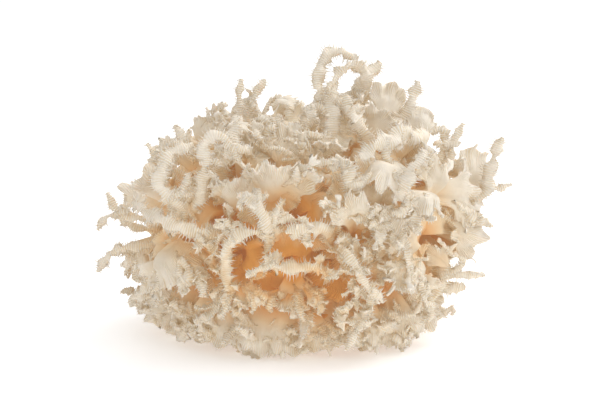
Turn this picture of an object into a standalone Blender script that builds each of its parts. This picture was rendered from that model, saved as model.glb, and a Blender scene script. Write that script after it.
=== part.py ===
"""A coral fungus of the comb-tooth kind, as picked: one fruiting body resting on its cut base.

Ribbons and fans of flesh with toothed edges grow out of one thick heart. They are all one piece.
Lengths in this file are millimetres until a mesh is made. +X is across, +Y is away from the front
and +Z is up. The origin is the middle of the cut base.
"""

import math
import random

import bmesh
import bpy
import numpy as np
from mathutils import Vector, noise

MM = 0.001
NAME = "coral_fungus"
FLESH_COLOUR = (0.80, 0.68, 0.50, 1.0)
FLESH_ROUGHNESS = 0.6

# The rounded outline that the frond tips reach, an egg about its own middle.
EGG_MIDDLE = np.array([0.0, 0.0, 44.0])
EGG_HALF_SIZE = np.array([82.0, 66.0, 64.0])
EGG_SQUAT_BELOW = 0.6

# The heart that all the fronds grow from, cut off flat below.
HEART_MIDDLE = np.array([0.0, 2.0, 42.0])
HEART_HALF_SIZE = np.array([48.0, 38.0, 42.0])
HEART_STRETCH_BELOW = 1.4
HEART_SEGMENTS = 18
HEART_RINGS = 11
HEART_LUMP = 0.22
HEART_LUMPS_ACROSS = 1.9
ROOT_DEPTH = 0.86
FOOT_LEAN = 0.6

# The front was laid out by eye, as seen from this far above the horizon and this far away.
VIEW_UP = math.radians(12.0)
VIEW_DISTANCE = 731.0
VIEW_MIDDLE = np.array([1.7, 54.2])
FACING_VIEW = np.array([0.0, -1.0, 0.25])
SEEN_STEPS = 3

# Flesh and teeth.
FLESH_THICKNESS = 2.0
ROOT_THICKNESS = 3.4
LOBE_PITCH = 9.0
LOBE_LENGTH = 3.2
LINE_STEPS = 48

# Feet bend off the floor: a point lower than the first height ends up between the two.
BEND_BELOW = 3.0
LOWEST_POINT = 0.4

# Fronds that fill the back, the sides and the gaps.
FILL_TRIES = 400
FILL_CLEARANCE = 17.2
FILL_LOWEST = -0.85
FILL_FAN_SHARE = 0.7
HANG = 2.5
GOLDEN_ANGLE = math.pi * (3 - math.sqrt(5))

# Places that stay open, as far back as this: (across, up as seen, radius).
HOLLOWS = [
    (10, 11, 9),
    (13, 70, 6),
    (16, 98, 9),
    (-47, 68, 6),
    (-56, 50, 6),
    (-18, 34, 6),
    (-22, 25, 4),
    (72, 24, 6),
]
HOLLOWS_BACK = 25.0

# Ribbons: points (across, up as seen, towards the viewer) from root to tip, and half width.
RIBBONS = [
    ([(-45, 50, 36), (-53, 54, 44), (-60, 60, 46), (-61, 68, 44), (-56, 76, 40), (-47, 80, 36)], 3.0),
    ([(-46, 50, 38), (-43, 60, 42), (-42, 70, 43), (-42, 79, 44), (-37, 84, 45), (-32, 80, 44), (-33, 74, 42)], 2.6),
    ([(-36, 66, 30), (-32, 76, 36), (-30, 84, 36), (-29, 92, 30)], 4.0),
    ([(-28, 38, 44), (-40, 41, 50), (-52, 44, 50), (-64, 49, 44), (-73, 55, 34)], 2.8),
    ([(-30, 18, 48), (-33, 27, 54), (-32, 35, 56), (-27, 41, 57), (-20, 42, 57), (-12, 40, 55)], 2.6),
    ([(14, 24, 46), (6, 27, 54), (-4, 27, 57), (-12, 27, 59), (-16, 32, 60)], 2.2),
    ([(14, 66, 16), (12, 80, 19), (9, 95, 18), (7, 108, 14), (9, 116, 10), (16, 120, 8), (24, 116, 10)], 2.6),
    ([(20, 84, 8), (26, 98, 4), (27, 111, 8), (21, 114, 14), (14, 108, 18), (10, 100, 21)], 2.6),
    ([(13, 72, 24), (13, 86, 24), (12, 96, 20), (14, 107, 16)], 4.2),
    ([(28, 80, 22), (24, 89, 24), (20, 95, 24), (19, 101, 22)], 3.0),
    ([(22, 98, 2), (27, 107, 4), (34, 115, 2)], 3.8),
    ([(42, 88, 8), (47, 98, 8), (50, 107, 6)], 2.6),
    ([(52, 80, 14), (45, 84, 28), (34, 80, 40), (25, 74, 46)], 4.4),
    ([(24, 54, 44), (21, 62, 49), (19, 73, 46)], 3.6),
    ([(42, 60, 46), (47, 69, 48), (53, 77, 44)], 3.2),
    ([(76, 58, 6), (81, 70, 6), (86, 83, 4)], 2.8),
    ([(-12, 42, 54), (-17, 50, 58), (-25, 59, 56)], 3.6),
    ([(12, 42, 52), (3, 44, 58), (-7, 42, 60)], 2.8),
    ([(52, 12, 24), (60, 22, 24), (62, 33, 22)], 3.0),
    ([(46, 18, 18), (58, 18, 16), (70, 18, 12)], 3.2),
    ([(18, 34, 56), (24, 26, 58), (28, 19, 58), (35, 12, 56)], 1.7),
    ([(28, 10, 50), (24, 1, 56), (19, -9, 60)], 1.8),
]

# Sprigs: slim antlers, points and half width as for the ribbons.
SPRIGS = [
    ([(-70, 48, 14), (-79, 51, 14), (-84, 59, 12)], 1.6),
    ([(-70, 44, 8), (-79, 49, 8), (-85, 48, 8), (-88, 43, 8)], 1.2),
    ([(-68, 36, 14), (-78, 35, 14), (-84, 31, 12), (-88, 25, 12)], 1.8),
    ([(-50, 16, 22), (-62, 15, 22), (-73, 14, 20)], 1.8),
    ([(-58, 70, 18), (-62, 75, 16), (-67, 80, 14)], 1.4),
    ([(-48, 78, 18), (-52, 84, 16), (-55, 88, 14)], 1.3),
    ([(-26, 90, 16), (-27, 99, 16), (-26, 108, 14)], 1.5),
    ([(-24, 88, 14), (-21, 99, 14), (-16, 108, 12)], 1.6),
    ([(10, 92, 20), (5, 96, 20), (2, 96, 20)], 1.4),
    ([(60, 70, 12), (65, 80, 12), (69, 89, 10)], 1.5),
    ([(56, 66, 12), (61, 78, 11), (61, 88, 8)], 1.3),
    ([(78, 60, 4), (85, 61, 4), (90, 63, 2)], 1.4),
    ([(30, 12, 48), (22, 11, 56), (15, 9, 58)], 1.7),
    ([(32, 20, 48), (24, 18, 55), (17, 15, 58)], 1.5),
    ([(30, 4, 50), (22, 4, 56), (15, 2, 59)], 1.6),
    ([(28, 26, 50), (18, 25, 56), (10, 22, 58)], 1.6),
    ([(-38, 30, 46), (-36, 38, 52), (-31, 45, 54)], 1.5),
]

# Fans: root, tip (as for the ribbons), and the spread of the fan in degrees.
FANS = [
    ((-42, 78, 8), (-43, 95, 10), 80),
    ((-52, 72, 12), (-59, 86, 12), 80),
    ((-56, 54, 20), (-70, 73, 22), 65),
    ((-62, 52, 10), (-80, 64, 8), 75),
    ((-64, 40, 10), (-78, 24, 14), 80),
    ((-58, 18, 4), (-73, 4, 10), 80),
    ((-50, 16, 14), (-67, -2, 17), 80),
    ((-60, 42, 32), (-46, 16, 48), 80),
    ((-58, 32, 32), (-68, 15, 33), 80),
    ((-48, 20, 24), (-53, -4, 28), 80),
    ((-38, 18, 32), (-42, -8, 37), 90),
    ((-30, 14, 37), (-31, -12, 44), 80),
    ((-26, 27, 42), (-28, 10, 51), 80),
    ((-4, 27, 43), (-3, 9, 54), 80),
    ((-17, 14, 39), (-18, -14, 49), 90),
    ((-6, 14, 39), (-7, -14, 49), 80),
    ((2, 10, 40), (7, -12, 48), 90),
    ((28, 30, 44), (18, 33, 56), 60),
    ((29, 14, 38), (27, -11, 44), 80),
    ((40, 16, 32), (42, -10, 38), 80),
    ((46, 18, 26), (54, -5, 29), 80),
    ((46, 18, 20), (61, 3, 20), 70),
    ((48, 26, 32), (57, 10, 34), 80),
    ((48, 36, 34), (44, 18, 48), 80),
    ((56, 42, 32), (32, 37, 54), 60),
    ((56, 46, 18), (83, 42, 16), 80),
    ((48, 40, 14), (64, 33, 16), 60),
    ((56, 60, 20), (80, 56, 14), 80),
    ((66, 54, 2), (83, 78, 2), 80),
    ((50, 64, 36), (54, 44, 50), 70),
    ((56, 56, 24), (58, 76, 30), 70),
    ((46, 80, 12), (56, 98, 10), 80),
    ((34, 86, 8), (39, 109, 4), 70),
    ((36, 76, 36), (37, 58, 54), 90),
    ((28, 82, 14), (38, 98, 16), 80),
    ((24, 42, 44), (22, 60, 57), 80),
    ((42, 54, 40), (36, 42, 54), 80),
    ((-24, 62, 24), (-22, 87, 34), 60),
    ((-12, 52, 40), (-9, 77, 54), 100),
    ((-24, 50, 40), (-29, 67, 50), 80),
    ((-16, 76, 10), (-17, 94, 6), 60),
    ((-3, 74, 10), (-5, 89, 6), 70),
    ((-6, 66, 30), (-7, 90, 30), 80),
    ((4, 62, 30), (3, 84, 36), 70),
]


def unit(vector):
    return vector / np.linalg.norm(vector)


def seen(point):
    """The place of a point that was laid out by eye: across, up as seen, towards the viewer."""
    laid, near = np.array(point[:2], float), point[2]
    height = laid[1]
    for _ in range(SEEN_STEPS):
        closer = near * math.cos(VIEW_UP) + height * math.sin(VIEW_UP)
        across, up = VIEW_MIDDLE + (laid - VIEW_MIDDLE) * (1 - closer / VIEW_DISTANCE)
        height = (up + near * math.sin(VIEW_UP)) / math.cos(VIEW_UP)
    return np.array([across, -near, height])


def heart_point(towards, depth=ROOT_DEPTH):
    """A point inside the heart, on the way from its middle towards a place."""
    way = (towards - HEART_MIDDLE) / HEART_HALF_SIZE
    return HEART_MIDDLE + HEART_HALF_SIZE * unit(way) * depth


class Line:
    """A smooth line through some points, with a sheet's facing carried along it without twist."""

    def __init__(self, points, facing):
        points = np.array(points, float)
        ends = [2 * points[0] - points[1], *points, 2 * points[-1] - points[-2]]
        dense = []
        for a, b, c, d in zip(ends, ends[1:], ends[2:], ends[3:]):
            for t in np.linspace(0, 1, 12, endpoint=False):
                dense.append(
                    0.5 * (2 * b + (c - a) * t + (2 * a - 5 * b + 4 * c - d) * t**2 + (3 * b - a - 3 * c + d) * t**3)
                )
        dense = np.array([*dense, points[-1]])
        walked = np.concatenate([[0], np.cumsum(np.linalg.norm(np.diff(dense, axis=0), axis=1))])
        self.length = walked[-1]
        self.shares = np.linspace(0, 1, LINE_STEPS)
        self.places = self.mix(self.shares, walked / self.length, dense)
        ahead = np.gradient(self.places, axis=0)
        self.ahead = ahead / np.linalg.norm(ahead, axis=1)[:, None]
        self.facings = self.carried(unit(np.array(facing, float)))

    @staticmethod
    def mix(at, shares, values):
        return np.stack([np.interp(at, shares, values[:, k]) for k in range(3)], axis=1)

    def carried(self, facing):
        """The facing at each place: as near as can be to the one asked for at the middle of the line."""
        middle = LINE_STEPS // 2
        found = np.zeros_like(self.places)
        start = facing - self.ahead[middle] * (facing @ self.ahead[middle])
        for steps in (range(middle, LINE_STEPS), range(middle, -1, -1)):
            now = unit(start)
            for i in steps:
                now = unit(now - self.ahead[i] * (now @ self.ahead[i]))
                found[i] = now
        return found

    def at(self, shares):
        """Places, directions ahead, facings and sideways directions at shares of the length."""
        place = self.mix(shares, self.shares, self.places)
        ahead = self.mix(shares, self.shares, self.ahead)
        facing = self.mix(shares, self.shares, self.facings)
        ahead /= np.linalg.norm(ahead, axis=1)[:, None]
        facing /= np.linalg.norm(facing, axis=1)[:, None]
        return place, ahead, facing, np.cross(ahead, facing)


def lobe_columns(count):
    """Shares of a margin at the valleys and tips of its lobes, and which are tips."""
    shares = np.linspace(0, 1, 2 * count + 1)
    return shares, np.arange(2 * count + 1) % 2


def lobe_lengths(tips, draw):
    """How far the margin stands out at each column: nothing at the valleys."""
    return tips * LOBE_LENGTH * np.array([draw.uniform(0.7, 1.3) for _ in tips])


def ribbon_rings(points, half_width, draw):
    """Rings of three points along a ribbon: one toothed edge, the ridge in front, the other edge."""
    line = Line(points, facing_of(points))
    shares, tips = lobe_columns(max(3, round(line.length / LOBE_PITCH)))
    place, _, facing, side = line.at(shares)
    spread = half_width * np.interp(shares, [0, 0.3, 0.75, 1], [0.7, 1, 1, 0.45])
    grown = np.interp(shares, [0, 0.25], [0, 1])
    left, right = (spread + grown * lobe_lengths(tips, draw) for _ in range(2))
    thick = np.interp(shares, [0, 0.4, 1], [ROOT_THICKNESS, FLESH_THICKNESS, 1.2])
    ridge = place + facing * (thick + 0.15 * half_width)[:, None]
    return np.stack([place - side * left[:, None], ridge, place + side * right[:, None]], axis=1)


def fan_rings(root, tip, spread, facing, draw):
    """Rings of four points across a fan: its foot in the heart, the front, the toothed margin, the back.

    The blade widens from one point in the heart up to its root and bends there to face the way asked for.
    The two columns of a lobe share one rib.
    """
    foot = foot_of(root, tip)
    reach = np.linalg.norm(tip - root)
    ahead = (tip - root) / reach
    facing = unit(facing - ahead * (facing @ ahead))
    side = np.cross(ahead, facing)
    shares, tips = lobe_columns(max(3, round(math.radians(spread) * reach / LOBE_PITCH)))
    turn, phase = draw.uniform(3, 5), draw.uniform(0, 6)
    cup = draw.uniform(-0.25, 0.05) * reach

    def rays(at):
        angles = np.radians(spread) * (at - 0.5)
        ways = np.cos(angles)[:, None] * ahead + np.sin(angles)[:, None] * side
        return ways, 0.12 * reach * np.sin(angles * turn + phase)

    ways, ruffle = rays(shares)
    margin = reach * (1 - 0.15 * (2 * shares - 1) ** 2) - LOBE_LENGTH + lobe_lengths(tips, draw)
    outer = root + ways * margin[:, None] + facing * (cup + ruffle)[:, None]
    ribs = (np.arange(len(shares)) + 1) // 2
    ways, ruffle = rays(ribs / ribs[-1])
    bend = root + ways * (0.3 * reach) + facing * (0.3 * ruffle)[:, None]
    across = unit(facing + np.cross(side, unit(root - foot)))
    half = across * ROOT_THICKNESS / 2
    feet = np.tile(foot, (len(shares), 1))
    return np.stack([feet, bend + half, outer, bend - half], axis=1)


def foot_of(root, ahead):
    """Where a frond starts: inside the heart, on the far side of its root from where it goes."""
    return heart_point(root - FOOT_LEAN * (ahead - root))


def facing_of(points):
    """Which way a ribbon's face looks: to the viewer on the front, away from the heart elsewhere."""
    middle = np.mean(points[len(points) // 2:], axis=0)
    out = unit((middle - EGG_MIDDLE) / EGG_HALF_SIZE)
    return FACING_VIEW * max(0.0, 0.35 - out[1]) + 0.6 * out


def sleeve(name, rings):
    """A closed body lofted through rings of points: a grid rolled round and welded along its seam.

    The quads of the front and the back are split the same way, so that the thin faces never cross.
    """
    columns, around = rings.shape[:2]
    rings = rings.copy()
    low = rings[:, :, 2] < BEND_BELOW
    room = BEND_BELOW - LOWEST_POINT
    rings[low, 2] = LOWEST_POINT + room * np.exp((rings[low, 2] - BEND_BELOW) / room)
    bm = bmesh.new()
    bmesh.ops.create_grid(bm, x_segments=columns - 1, y_segments=around, size=1)
    front = [f for f in bm.faces if f.calc_center_median().y < 0]
    back = [f for f in bm.faces if f not in front]
    bmesh.ops.triangulate(bm, faces=front, quad_method="FIXED")
    bmesh.ops.triangulate(bm, faces=back, quad_method="ALTERNATE")
    for vert in bm.verts:
        column = round((vert.co.x + 1) / 2 * (columns - 1))
        row = round((vert.co.y + 1) / 2 * around) % around
        vert.co = Vector(rings[column, row] * MM)
    bmesh.ops.remove_doubles(bm, verts=bm.verts, dist=1e-6)
    bmesh.ops.holes_fill(bm, edges=bm.edges, sides=around)
    bmesh.ops.triangulate(bm, faces=[f for f in bm.faces if len(f.verts) > 3])
    bmesh.ops.recalc_face_normals(bm, faces=bm.faces)
    mesh = bpy.data.meshes.new(name)
    bm.to_mesh(mesh)
    bm.free()
    return bpy.data.objects.new(name, mesh)


def make_heart():
    """The lumpy heart, a ball drawn out downwards and cut off flat at the base."""
    bm = bmesh.new()
    bmesh.ops.create_uvsphere(bm, u_segments=HEART_SEGMENTS, v_segments=HEART_RINGS, radius=1)
    for vert in bm.verts:
        way = np.array(vert.co)
        lump = 1 + HEART_LUMP * noise.noise(Vector(way * HEART_LUMPS_ACROSS))
        place = way * HEART_HALF_SIZE * lump
        if place[2] < 0:
            place[2] *= HEART_STRETCH_BELOW
        vert.co = Vector((HEART_MIDDLE + place) * MM)
    cut = bmesh.ops.bisect_plane(
        bm, geom=bm.verts[:] + bm.edges[:] + bm.faces[:], plane_co=(0, 0, 0), plane_no=(0, 0, 1), clear_inner=True
    )
    rim = [e for e in cut["geom_cut"] if isinstance(e, bmesh.types.BMEdge)]
    bmesh.ops.contextual_create(bm, geom=rim)
    bmesh.ops.recalc_face_normals(bm, faces=bm.faces)
    mesh = bpy.data.meshes.new(NAME)
    bm.to_mesh(mesh)
    bm.free()
    return bpy.data.objects.new(NAME, mesh)


def fill_fronds(taken, draw):
    """Ribbons and fans spread evenly over the egg wherever the laid-out ones leave room."""
    ribbons, fans = [], []
    for n in range(FILL_TRIES):
        height = 1 - (n + 0.5) / FILL_TRIES * (1 - FILL_LOWEST)
        flat = math.sqrt(1 - height**2)
        out = np.array([flat * math.cos(n * GOLDEN_ANGLE), flat * math.sin(n * GOLDEN_ANGLE), height])
        lean, wide, fan = draw.uniform(0, 2 * math.pi), draw.uniform(2.8, 4.2), draw.random() < FILL_FAN_SHARE
        long, reach = draw.uniform(18, 27) if fan else draw.uniform(16, 24), draw.uniform(0.74, 0.84)
        half_size = EGG_HALF_SIZE * ([1, 1, 1] if height > 0 else [1, 1, EGG_SQUAT_BELOW])
        place = EGG_MIDDLE + half_size * out * reach
        up = place[2] * math.cos(VIEW_UP) + place[1] * math.sin(VIEW_UP)
        inside = any(math.hypot(place[0] - x, up - h) < r + long / 3 for x, h, r in HOLLOWS)
        if place[1] < HOLLOWS_BACK and inside:
            continue
        if min(np.linalg.norm(place - other) for other in taken) < FILL_CLEARANCE:
            continue
        taken.append(place)
        out = unit(out)
        across = unit(np.cross(out, [0.3, 0.2, 1]))
        along = math.cos(lean) * across + math.sin(lean) * np.cross(out, across)
        along = unit(along + HANG * max(0.0, 0.3 - height) * np.array([0, 0, -1]))
        tip = place + along * long * 0.75 + out * long * 0.5
        if fan:
            fans.append((place, tip, 80, out + 0.3 * along))
        else:
            start = heart_point(place)
            bend = place + 0.25 * long * along + 0.35 * long * out
            ribbons.append(([start, place, bend, tip, tip + 0.3 * long * along - 0.3 * long * out], wide))
    return ribbons, fans


def plan():
    """The rings of every frond, laid out by eye on the front and by rule elsewhere."""
    draw = random.Random(8)
    rings, taken = [], []
    for points, half_width in RIBBONS + SPRIGS:
        points = [seen(p) for p in points]
        taken += points[len(points) // 2:]
        rings.append(ribbon_rings([foot_of(*points[:2]), *points], half_width, draw))
    for root, tip, spread in FANS:
        root, tip = seen(root), seen(tip)
        facing = facing_of([root, tip])
        taken += [root, (root + tip) / 2, tip]
        rings.append(fan_rings(root, tip, spread, facing, draw))
    ribbons, fans = fill_fronds(taken, draw)
    for points, half_width in ribbons:
        rings.append(ribbon_rings(points, half_width, draw))
    for root, tip, spread, facing in fans:
        rings.append(fan_rings(root, tip, spread, facing, draw))
    print("fronds:", len(RIBBONS), len(SPRIGS), len(FANS), "fill:", len(ribbons), len(fans))
    return rings


def flesh_material():
    material = bpy.data.materials.new("flesh")
    material.use_nodes = True
    shader = material.node_tree.nodes["Principled BSDF"]
    shader.inputs["Base Color"].default_value = FLESH_COLOUR
    shader.inputs["Roughness"].default_value = FLESH_ROUGHNESS
    shader.inputs["Metallic"].default_value = 0.0
    return material


def main():
    for obj in list(bpy.data.objects):
        bpy.data.objects.remove(obj)
    part = bpy.data.collections.new(NAME)
    fronds = bpy.data.collections.new("fronds")
    bpy.context.scene.collection.children.link(part)
    bpy.context.scene.collection.children.link(fronds)
    heart = make_heart()
    part.objects.link(heart)
    for n, rings in enumerate(plan()):
        fronds.objects.link(sleeve(f"frond_{n}", rings))

    union = heart.modifiers.new("fronds", "BOOLEAN")
    union.operation = "UNION"
    union.operand_type = "COLLECTION"
    union.collection = fronds
    union.solver = "MANIFOLD"
    bpy.context.view_layer.objects.active = heart
    bpy.ops.object.modifier_apply(modifier=union.name)
    for obj in list(fronds.objects):
        bpy.data.objects.remove(obj)
    bpy.data.collections.remove(fronds)

    heart.data.materials.clear()
    heart.data.materials.append(flesh_material())
    print("triangles:", sum(len(p.vertices) - 2 for p in heart.data.polygons))


main()
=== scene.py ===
"""The looks of a coral fungus of the comb-tooth kind, resting on its cut base.

Every frond stands where the solid part has it, from the same tables and the same draws, and is
finer here: bands and blades with ribs and combs of spines, with smaller fronds grown between them.
Lengths are millimetres until a mesh is made. +X is across, +Y away from the front and +Z up.
"""

import math
import random

import bmesh
import bpy
import numpy as np
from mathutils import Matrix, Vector, noise


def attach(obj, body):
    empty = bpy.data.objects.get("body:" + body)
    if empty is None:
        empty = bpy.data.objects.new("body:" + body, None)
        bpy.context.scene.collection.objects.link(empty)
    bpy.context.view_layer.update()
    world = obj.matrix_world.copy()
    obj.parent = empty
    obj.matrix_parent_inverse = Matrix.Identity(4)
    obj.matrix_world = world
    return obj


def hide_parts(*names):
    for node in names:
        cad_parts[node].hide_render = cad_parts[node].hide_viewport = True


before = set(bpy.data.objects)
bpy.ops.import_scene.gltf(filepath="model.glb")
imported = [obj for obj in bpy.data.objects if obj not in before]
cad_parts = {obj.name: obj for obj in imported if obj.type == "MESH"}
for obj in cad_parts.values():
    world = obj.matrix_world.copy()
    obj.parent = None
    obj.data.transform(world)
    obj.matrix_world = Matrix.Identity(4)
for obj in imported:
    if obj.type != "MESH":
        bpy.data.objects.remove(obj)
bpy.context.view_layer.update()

# The heart. It is one thick lump of firm flesh, ochre deep inside, that every frond grows out of.
# It was cut off flat with a knife where the fungus was picked, and rests on that cut.
# Its ochre is partly the flesh's own colour and partly painted shade of the deep gaps.
MM = 0.001
EGG_MIDDLE = np.array([0.0, 0.0, 44.0])
EGG_HALF_SIZE = np.array([82.0, 66.0, 64.0])
EGG_SQUAT_BELOW = 0.6
HEART_MIDDLE = np.array([0.0, 2.0, 42.0])
HEART_HALF_SIZE = np.array([48.0, 38.0, 42.0])
HEART_STRETCH_BELOW = 1.4
HEART_LUMP = 0.22
HEART_LUMPS_ACROSS = 1.9
HEART_WRINKLES = [(7.0, 0.05), (18.0, 0.02)]
ROOT_DEPTH = 0.86
FOOT_LEAN = 0.6
# How far out each colour of the flesh lies, from the middle at 0 to the rounded outline at 1. The deep ochre
# is partly the flesh's own colour and partly painted shade of the deep gaps.
REACH_OF_COLOURS_AND_PAINTED_SHADE = [
    (0.50, (0.74, 0.32, 0.06, 1)),
    (0.66, (0.77, 0.59, 0.38, 1)),
    (0.79, (0.77, 0.71, 0.60, 1)),
    (0.96, (0.755, 0.72, 0.65, 1)),
]
# Patches of painted shade and painted light: across, up, towards the front, how wide, and how much nearer to
# ochre, as painted shade of the deep gaps, or to ivory where negative, as painted light where the top lies in
# shade.
PAINTED_SHADE_AND_LIGHT_PATCHES = [
    (-22, 40, 46, 20, 0.16),
    (14, 26, 50, 20, 0.16),
    (-46, 52, 40, 14, 0.12),
    (2, 62, 44, 16, 0.12),
    (2, 96, 8, 34, -0.14),
    (-7, 92, -22, 26, -0.14),
]
# How much nearer to ochre the rows far from a frond's margin are: partly the flesh's own colour, partly
# painted shade between the fronds.
OCHRE_AND_PAINTED_SHADE_FAR_IN = 0.09
# Painted shade in the grooves between the ribs: the flesh colour is multiplied by this darker, warmer tint
# there.
PAINTED_RIB_GROOVE_SHADE = (0.88, 0.77, 0.60, 1)
MOTTLE_SCALE = 90.0
MOTTLE = (0.3, 0.7, 0.92, 1.04)
RIB_PATCH_SCALE = 160.0
RIB_PATCHES = (0.35, 0.6, 0.4, 1.0)
# How much of that painted shade falls at each rib height: all of it in the grooves, none on the crests.
GROOVE_SHADE_SPREAD = (-1.0, 0.6, 1.0, 0.0)
GRAIN_SCALE = 450.0
GRAIN_HEIGHT = 1.8
RELIEF = 0.0003
# A painted glow: all the flesh gives off this warm light of its own, though it is no lamp, to lift its shade
# as light scattered through it would.
PAINTED_GLOW_STRENGTH = 0.115
PAINTED_GLOW_COLOUR = (1.0, 0.70, 0.40, 1)


def unit(vector):
    return vector / np.linalg.norm(vector)


def places_of(piece):
    places = np.empty(len(piece.data.vertices) * 3)
    piece.data.vertices.foreach_get("co", places)
    return places.reshape(-1, 3) / MM


def move_to(piece, places):
    piece.data.vertices.foreach_set("co", (places * MM).ravel())
    piece.data.update()


def deselect():
    bpy.ops.object.select_all(action="DESELECT")


def set_inputs(tree, node, inputs):
    """Sets a node's inputs, each to a number, a colour or the output of another node."""
    for name, value in inputs.items():
        if isinstance(value, bpy.types.NodeSocket):
            tree.links.new(value, node.inputs[name])
        else:
            node.inputs[name].default_value = value


def add_node(tree, kind, inputs, **settings):
    """A new node with its settings and its inputs."""
    node = tree.nodes.new(kind)
    for name, value in settings.items():
        setattr(node, name, value)
    set_inputs(tree, node, inputs)
    return node


def worked_out(tree, operation, *values):
    """The result of a sum on some values."""
    return add_node(tree, "ShaderNodeMath", dict(enumerate(values)), operation=operation).outputs["Value"]


def mapped(tree, value, low, high, to_low, to_high):
    """A value that goes from low to high, made to go between two others."""
    limits = {"From Min": low, "From Max": high, "To Min": to_low, "To Max": to_high}
    return add_node(tree, "ShaderNodeMapRange", {"Value": value, **limits}).outputs["Result"]


def tinted(tree, colour, tint, factor):
    """A colour multiplied by a tint, as far as a factor says."""
    inputs = {"Factor": factor, "A": colour, "B": tint}
    mix = add_node(tree, "ShaderNodeMix", inputs, data_type="RGBA", blend_type="MULTIPLY")
    return mix.outputs["Result"]


def noise_at(tree, where, scale, detail=2.0):
    inputs = {"Vector": where, "Scale": scale, "Detail": detail}
    return add_node(tree, "ShaderNodeTexNoise", inputs).outputs["Fac"]


def add_ribs(tree, where):
    """Ribs that run with each frond, in stronger and weaker patches: their height and their strength."""
    along = add_node(tree, "ShaderNodeUVMap", {}, uv_map="UVMap").outputs["UV"]
    across = add_node(tree, "ShaderNodeSeparateXYZ", {"Vector": along}).outputs["X"]
    wave = worked_out(tree, "COSINE", worked_out(tree, "MULTIPLY", across, 2 * math.pi))
    ribbed = add_node(tree, "ShaderNodeAttribute", {}, attribute_name="ribbed").outputs["Fac"]
    patch = mapped(tree, noise_at(tree, where, RIB_PATCH_SCALE), *RIB_PATCHES)
    strength = worked_out(tree, "MULTIPLY", ribbed, patch)
    return worked_out(tree, "MULTIPLY", wave, strength), strength


def add_colour_and_painted_shade(tree, where):
    """Ochre low down in the gaps and ivory out at the tips, a little mottled. The ochre is partly the flesh's
    own colour and partly painted shade of the deep gaps.
    """
    reach = add_node(tree, "ShaderNodeAttribute", {}, attribute_name="reach").outputs["Fac"]
    ramp = add_node(tree, "ShaderNodeValToRGB", {"Fac": reach})
    stops = ramp.color_ramp.elements
    stops[0].position, stops[0].color = REACH_OF_COLOURS_AND_PAINTED_SHADE[0]
    stops[1].position, stops[1].color = REACH_OF_COLOURS_AND_PAINTED_SHADE[-1]
    for position, colour in REACH_OF_COLOURS_AND_PAINTED_SHADE[1:-1]:
        stops.new(position).color = colour
    mottle = mapped(tree, noise_at(tree, where, MOTTLE_SCALE, 3.0), *MOTTLE)
    return tinted(tree, ramp.outputs["Color"], mottle, 1.0)


def make_flesh():
    """Moist matt flesh that lets a little light in, ribbed and finely grained, with painted shade in its gaps
    and rib grooves and a painted warm glow of its own that lifts its shade.
    """
    material = bpy.data.materials.new("flesh")
    material.use_nodes = True
    tree = material.node_tree
    where = add_node(tree, "ShaderNodeTexCoord", {}).outputs["Object"]
    height, strength = add_ribs(tree, where)
    # Painted shade in the grooves between the ribs, as strong as the ribs are.
    between = worked_out(tree, "MULTIPLY", mapped(tree, height, *GROOVE_SHADE_SPREAD), strength)
    rough = worked_out(tree, "MULTIPLY_ADD", noise_at(tree, where, GRAIN_SCALE, 1.0), GRAIN_HEIGHT, height)
    bump = add_node(tree, "ShaderNodeBump", {"Height": rough, "Strength": 0.5, "Distance": RELIEF})
    shader = tree.nodes["Principled BSDF"]
    shader.subsurface_method = "RANDOM_WALK"
    looks = {
        # The colour carries painted shade: ochre in the deep gaps and a darker tint in the rib grooves.
        "Base Color": tinted(tree, add_colour_and_painted_shade(tree, where), PAINTED_RIB_GROOVE_SHADE, between),
        "Roughness": 0.65,
        "Specular IOR Level": 0.25,
        "Subsurface Weight": 0.25,
        "Subsurface Radius": (1.0, 0.8, 0.6),
        "Subsurface Scale": 0.0005,
        # A painted glow: the flesh gives off warm light of its own, though it is no lamp.
        "Emission Color": PAINTED_GLOW_COLOUR,
        "Emission Strength": PAINTED_GLOW_STRENGTH,
        "Normal": bump.outputs["Normal"],
    }
    set_inputs(tree, shader, looks)
    return material


def dress(piece):
    """Gives a finished piece its flesh, marks how far out each point is, with painted shade and light laid on
    that mark, and fixes it to the part.
    """
    places = places_of(piece)
    reach = np.linalg.norm((places - EGG_MIDDLE) / EGG_HALF_SIZE, axis=1)
    # Painted shade and light: the patches move the mark nearer to ochre in the deep gaps and nearer to ivory
    # on the shaded top.
    for x, z, near, wide, deep in PAINTED_SHADE_AND_LIGHT_PATCHES:
        far = np.linalg.norm(places - [x, -near, z], axis=1) / wide
        reach -= deep * np.exp(-(far**2))
    # Painted shade between fronds: rows far from the margin move nearer to ochre, partly as the flesh's own
    # colour.
    if "inner" in piece.data.attributes:
        inner = np.empty(len(reach))
        piece.data.attributes["inner"].data.foreach_get("value", inner)
        reach = reach - OCHRE_AND_PAINTED_SHADE_FAR_IN * inner
    marks = piece.data.attributes.new("reach", "FLOAT", "POINT")
    marks.data.foreach_set("value", reach.astype(np.float32))
    piece.data.materials.clear()
    piece.data.materials.append(flesh)
    piece.data.polygons.foreach_set("use_smooth", [True] * len(piece.data.polygons))
    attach(piece, "root")
    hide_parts("coral_fungus")


def uneven(places):
    """A smooth uneven height at each of some places."""
    return np.array([noise.noise(Vector(place)) for place in places])


def heart_surface(ways):
    """Places on the heart's surface, out from its middle along some ways."""
    lumps = 1 + HEART_LUMP * uneven(ways * HEART_LUMPS_ACROSS)
    wrinkles = sum(high * uneven(ways * across) for across, high in HEART_WRINKLES)
    out = ways * HEART_HALF_SIZE * (lumps + wrinkles)[:, None]
    out[:, 2] *= np.where(out[:, 2] < 0, HEART_STRETCH_BELOW, 1)
    return HEART_MIDDLE + out


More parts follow.
